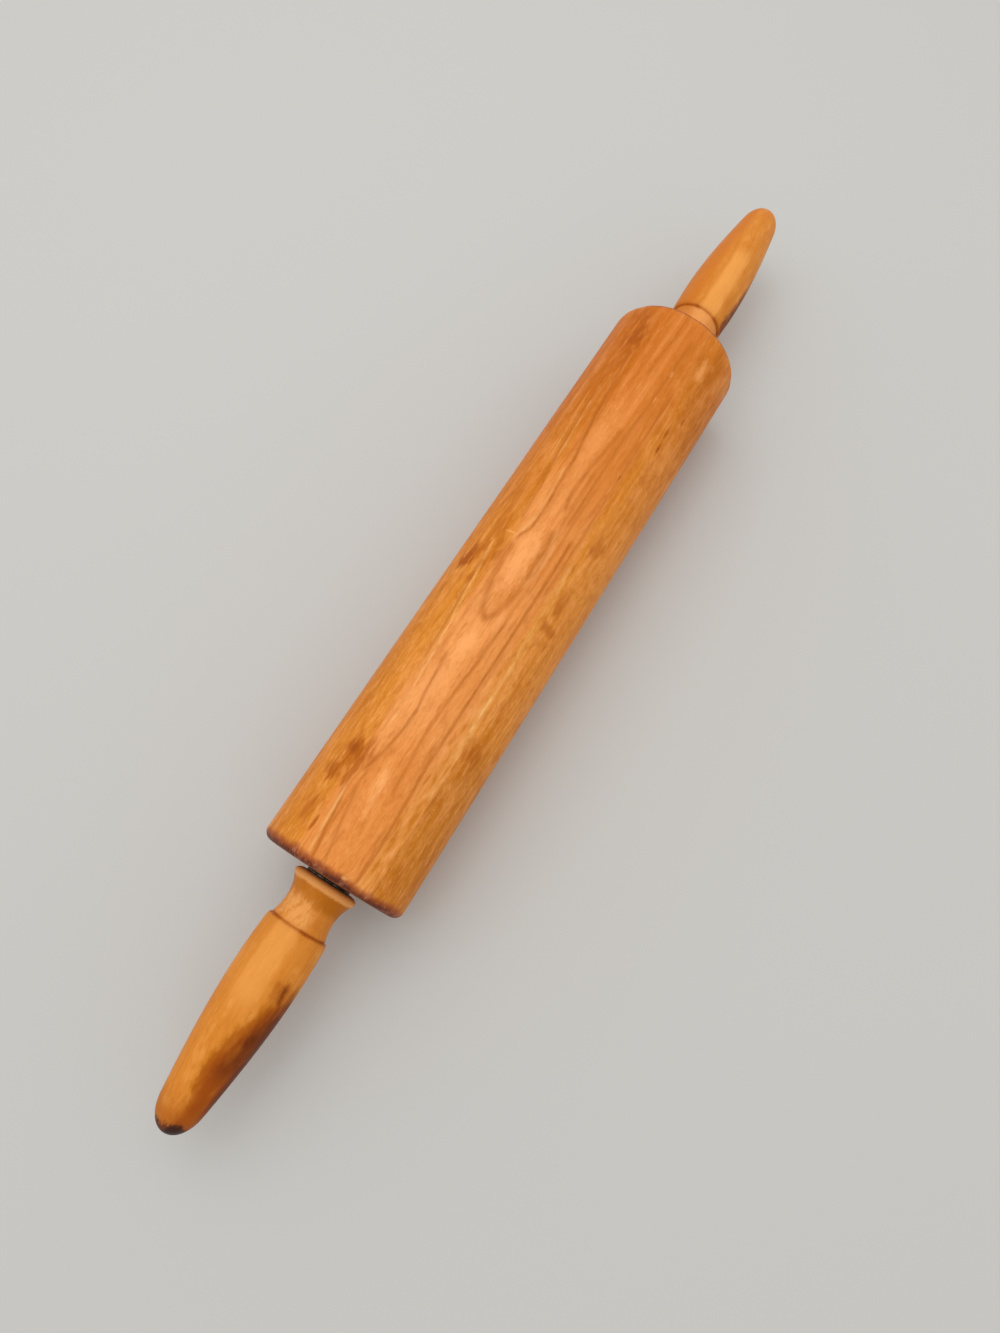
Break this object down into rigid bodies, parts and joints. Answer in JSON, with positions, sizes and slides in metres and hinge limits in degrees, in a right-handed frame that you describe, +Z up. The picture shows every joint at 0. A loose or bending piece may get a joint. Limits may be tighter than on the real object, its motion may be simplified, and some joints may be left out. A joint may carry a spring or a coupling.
{
  "type": "rolling pin",
  "caption": "Turned hardwood rolling pin: a plain cylindrical barrel spins on ball bearings round a steel axle, with a collared, tapered wooden handle at each end, for rolling out dough.",
  "frame": {"origin": "on the surface that the barrel rests on, below the middle of the pin", "axes": "+X along the axle towards the right handle, +Z up"},
  "size_m": [0.4572, 0.058, 0.058],
  "materials": {
    "barrel_wood": "amber varnished hardwood, straight grain with a flame figure, satin and worn",
    "handle_wood": "orange varnished hardwood, satin, stained dark at the tip",
    "axle_steel": "drawn steel rod and stamped washers, dulled with age",
    "bearing_steel": "turned bearing steel, slightly tarnished",
    "ball_steel": "ground and polished bearing balls"
  },
  "bodies": {
    "axle": {"axle_rod": "axle_steel", "left_handle": "handle_wood", "right_handle": "handle_wood", "left_thrust_washer": "axle_steel", "right_thrust_washer": "axle_steel"},
    "bearing_cones": {"left_bearing_cone": "bearing_steel", "right_bearing_cone": "bearing_steel"},
    "barrel": {"barrel": "barrel_wood", "left_bearing_cup": "bearing_steel", "right_bearing_cup": "bearing_steel"},
    "left_balls": {"left_ball_01": "ball_steel", "left_ball_02": "ball_steel", "left_ball_03": "ball_steel", "left_ball_04": "ball_steel", "left_ball_05": "ball_steel", "left_ball_06": "ball_steel", "left_ball_07": "ball_steel", "left_ball_08": "ball_steel", "left_ball_09": "ball_steel", "left_ball_10": "ball_steel"},
    "right_balls": {"right_ball_01": "ball_steel", "right_ball_02": "ball_steel", "right_ball_03": "ball_steel", "right_ball_04": "ball_steel", "right_ball_05": "ball_steel", "right_ball_06": "ball_steel", "right_ball_07": "ball_steel", "right_ball_08": "ball_steel", "right_ball_09": "ball_steel", "right_ball_10": "ball_steel"}
  },
  "joints": [
    {"name": "barrel_float", "type": "slide", "parent": "axle", "child": "bearing_cones", "axis": [1, 0, 0], "range_m": [-0.0004, 0.0004]},
    {"name": "barrel_spin", "type": "hinge", "parent": "bearing_cones", "child": "barrel", "pos_m": [0, 0, 0.029], "axis": [1, 0, 0], "continuous": true},
    {"name": "left_ball_orbit", "type": "hinge", "parent": "bearing_cones", "child": "left_balls", "pos_m": [-0.12995, 0, 0.029], "axis": [1, 0, 0], "continuous": true},
    {"name": "right_ball_orbit", "type": "hinge", "parent": "bearing_cones", "child": "right_balls", "pos_m": [0.12995, 0, 0.029], "axis": [1, 0, 0], "continuous": true}
  ],
  "couplings": [
    {"joint": "left_ball_orbit", "follows": "barrel_spin", "ratio": 0.63514},
    {"joint": "right_ball_orbit", "follows": "barrel_spin", "ratio": 0.63514}
  ]
}
